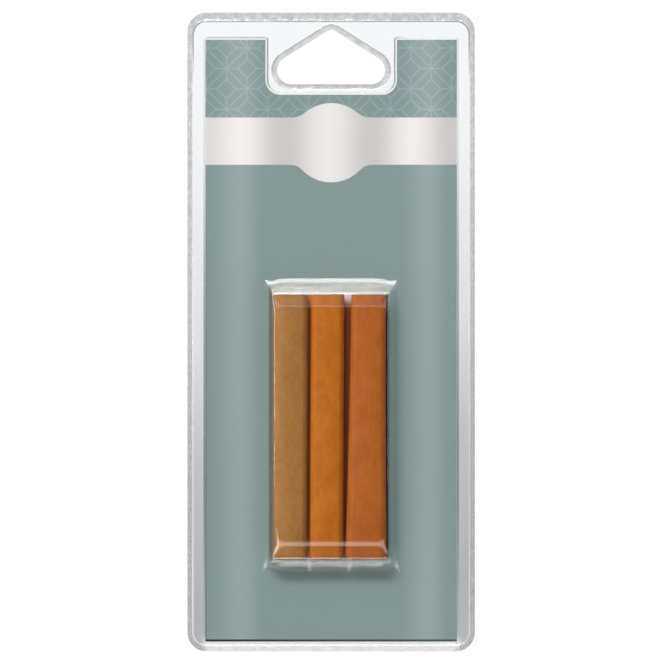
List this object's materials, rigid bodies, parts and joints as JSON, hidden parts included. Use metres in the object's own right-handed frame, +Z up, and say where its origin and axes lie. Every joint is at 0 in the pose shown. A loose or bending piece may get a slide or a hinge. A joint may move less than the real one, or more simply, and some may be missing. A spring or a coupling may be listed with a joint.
{
  "type": "furniture repair wax sticks in a hang pack",
  "caption": "Clear welded hang pack with a printed card and loose rectangular wax sticks for filling scratches in furniture, standing side by side in a flared pocket.",
  "frame": {"origin": "top of the hang hole, where a peg carries the pack, on the plane where the two sheets meet", "axes": "+X to the right seen from the front, +Y out of the flat back, +Z up along the pack's height"},
  "size_m": [0.09, 0.0137, 0.2],
  "materials": {
    "clear_front": "clear thermoformed sheet, glossy",
    "clear_rear": "clear flat sheet, glossy",
    "card": "printed board, satin",
    "wax_tan": "cast wax, satin",
    "wax_amber": "cast wax, satin",
    "wax_terracotta": "cast wax, satin"
  },
  "bodies": {
    "pack": {"front_shell": "clear_front", "rear_shell": "clear_rear", "printed_card": "card"},
    "stick_tan": {"wax_stick_tan": "wax_tan"},
    "stick_amber": {"wax_stick_amber": "wax_amber"},
    "stick_terracotta": {"wax_stick_terracotta": "wax_terracotta"}
  },
  "joints": [
    {"name": "tan_slide", "type": "slide", "parent": "pack", "child": "stick_tan", "axis": [0, 0, 1], "range_m": [0, 0.0004]},
    {"name": "amber_slide", "type": "slide", "parent": "pack", "child": "stick_amber", "axis": [0, 0, 1], "range_m": [0, 0.0004]},
    {"name": "terracotta_slide", "type": "slide", "parent": "pack", "child": "stick_terracotta", "axis": [0, 0, 1], "range_m": [0, 0.0004]}
  ]
}
